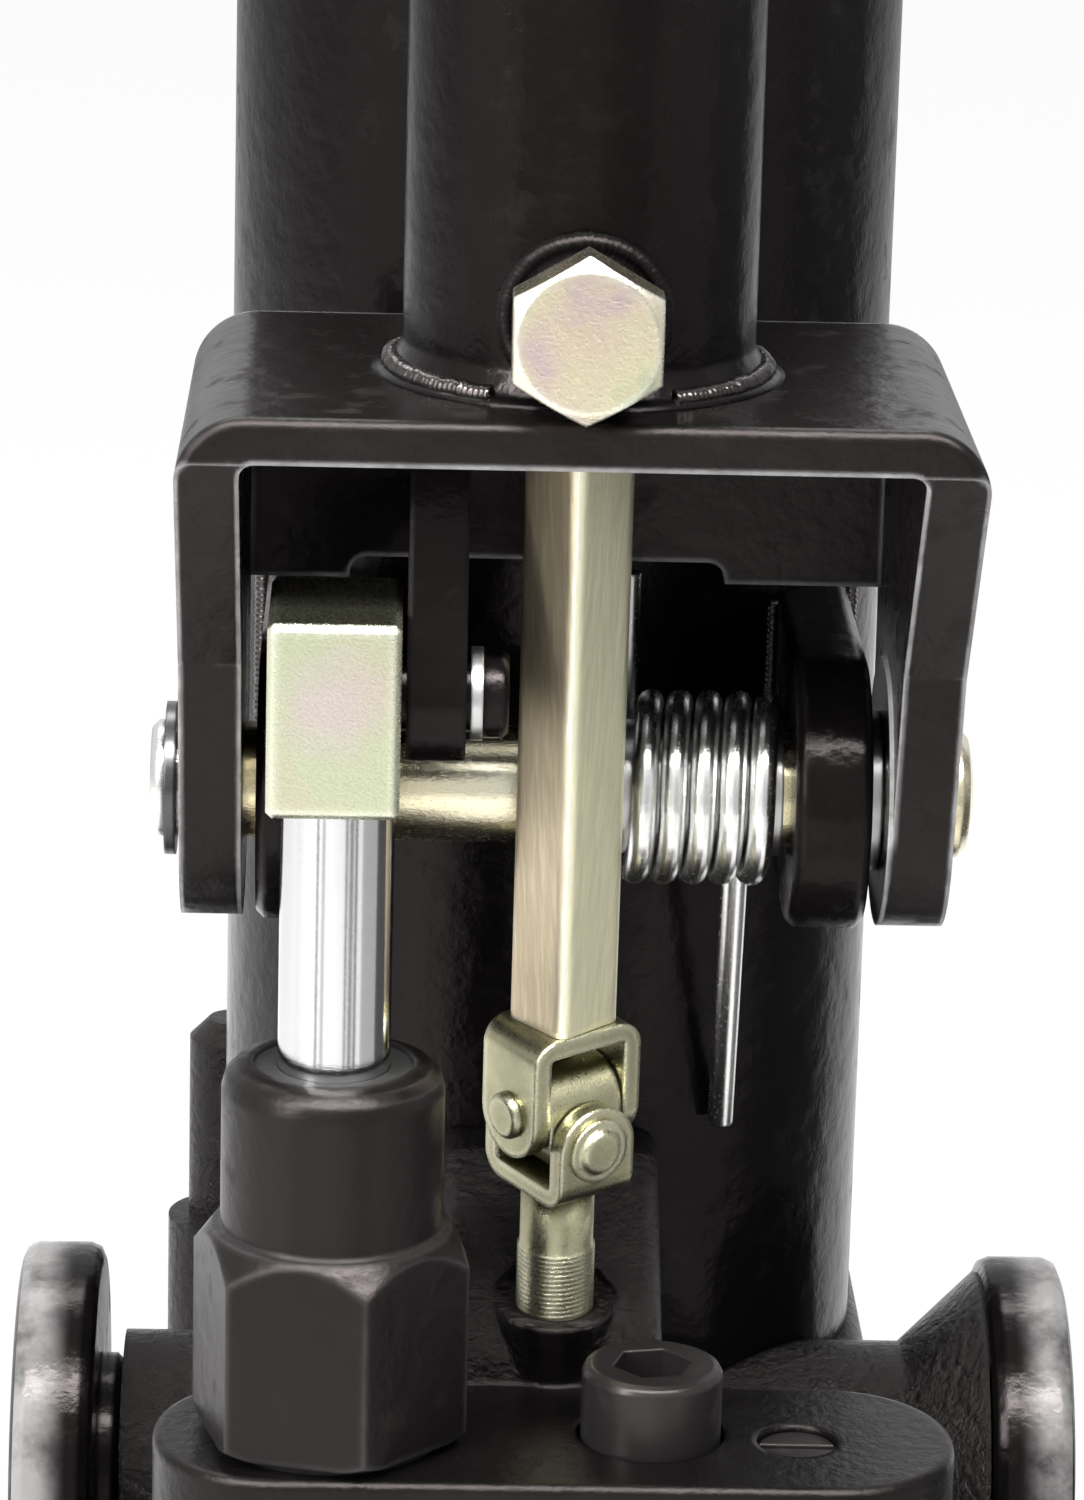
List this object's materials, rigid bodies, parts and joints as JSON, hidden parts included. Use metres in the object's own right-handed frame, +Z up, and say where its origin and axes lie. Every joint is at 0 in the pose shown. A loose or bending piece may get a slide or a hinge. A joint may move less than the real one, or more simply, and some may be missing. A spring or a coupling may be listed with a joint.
{
  "type": "floor jack",
  "caption": "Upright hydraulic floor jack: lifting ram in a round tank, yoke and handle socket driving a plunger pump, torsion return spring, release rod with universal joint, side wheels.",
  "frame": {"origin": "on the lifting column's axis at floor level, the base's underside", "axes": "+Z up along the ram, -Y towards the operator and the pump, +X to the operator's right"},
  "size_m": [0.1536, 0.1786, 0.3226],
  "materials": {
    "black_paint": "gloss",
    "cast_paint": "gloss over rough casting",
    "yellow_zinc": "yellow zinc plated",
    "khaki_zinc": "yellow zinc plated",
    "rod_zinc": "yellow zinc plated, rubbed",
    "bright_steel": "bright",
    "chrome": "polished",
    "spring_steel": "bright",
    "seal_rubber": "matte"
  },
  "bodies": {
    "base": {"base_casting": "cast_paint", "tank_tube": "black_paint", "tank_plug": "seal_rubber", "pressure_cylinder": "bright_steel", "top_nut": "black_paint", "ram_wiper": "seal_rubber", "wheel_washers": "bright_steel", "wheel_clips": "spring_steel", "pump_body": "black_paint", "pump_wiper": "seal_rubber", "lug_right": "black_paint", "lug_left": "black_paint", "main_pin": "yellow_zinc", "pin_ring": "spring_steel", "pin_washer": "bright_steel", "spring_sleeve": "bright_steel", "torsion_spring": "spring_steel", "valve_ball": "bright_steel", "inlet_ball": "bright_steel", "cap_screw": "black_paint", "slotted_plug": "black_paint", "relief_ball": "bright_steel"},
    "yoke": {"yoke": "black_paint", "yoke_web": "black_paint", "drive_arm": "black_paint", "drive_pin": "black_paint", "drive_washer": "bright_steel", "handle_socket": "black_paint", "lock_nut": "black_paint"},
    "lock_bolt": {"lock_bolt": "yellow_zinc"},
    "plunger": {"pump_plunger": "chrome", "plunger_head": "yellow_zinc"},
    "ram": {"ram": "chrome", "ram_seal": "seal_rubber"},
    "lift_screw": {"extension_screw": "bright_steel", "saddle": "black_paint"},
    "left_wheel": {"wheel_left": "black_paint"},
    "right_wheel": {"wheel_right": "black_paint"},
    "valve": {"valve_stem": "khaki_zinc", "lower_fork": "khaki_zinc", "lower_rivet": "khaki_zinc"},
    "cross": {"joint_block": "khaki_zinc"},
    "rod": {"release_rod": "rod_zinc", "upper_fork": "khaki_zinc", "upper_rivet": "khaki_zinc"}
  },
  "joints": [
    {"name": "handle_pump", "type": "hinge", "parent": "base", "child": "yoke", "pos_m": [0, -0.071, 0.147], "axis": [1, 0, 0], "range_deg": [0, 50], "stiffness_Nm_per_rad": 1.2, "springref_deg": -28.65, "deforming": ["torsion_spring"]},
    {"name": "plunger_stroke", "type": "slide", "parent": "base", "child": "plunger", "axis": [0, 0, -1], "range_m": [0, 0.031]},
    {"name": "ram_lift", "type": "slide", "parent": "base", "child": "ram", "axis": [0, 0, 1], "range_m": [0, 0.15]},
    {"name": "saddle_height", "type": "slide", "parent": "ram", "child": "lift_screw", "axis": [0, 0, 1], "range_m": [0, 0.06]},
    {"name": "left_wheel_spin", "type": "hinge", "parent": "base", "child": "left_wheel", "pos_m": [-0.07, -0.034, 0.0313], "axis": [1, 0, 0], "continuous": true},
    {"name": "right_wheel_spin", "type": "hinge", "parent": "base", "child": "right_wheel", "pos_m": [0.07, -0.034, 0.0313], "axis": [1, 0, 0], "continuous": true},
    {"name": "release_turn", "type": "hinge", "parent": "base", "child": "valve", "pos_m": [0.0003, -0.0838, 0.1043], "axis": [0, -0.109, 0.994], "range_deg": [0, 360]},
    {"name": "lower_joint_pivot", "type": "hinge", "parent": "valve", "child": "cross", "pos_m": [0.0003, -0.08353, 0.10181], "axis": [0.5736, -0.8143, -0.0893], "range_deg": [0, 19]},
    {"name": "upper_joint_pivot", "type": "hinge", "parent": "cross", "child": "rod", "pos_m": [0.0003, -0.08397, 0.10589], "axis": [0.8192, 0.5702, 0.0625], "range_deg": [0, 25]},
    {"name": "lock_bolt_travel", "type": "slide", "parent": "yoke", "child": "lock_bolt", "axis": [0, -1, 0], "range_m": [0, 0.006]}
  ],
  "couplings": [
    {"joint": "plunger_stroke", "follows": "handle_pump", "m_per_rad": 0.03495},
    {"joint": "lower_joint_pivot", "follows": "handle_pump", "ratio": 0.3761},
    {"joint": "upper_joint_pivot", "follows": "handle_pump", "ratio": 0.4944}
  ]
}
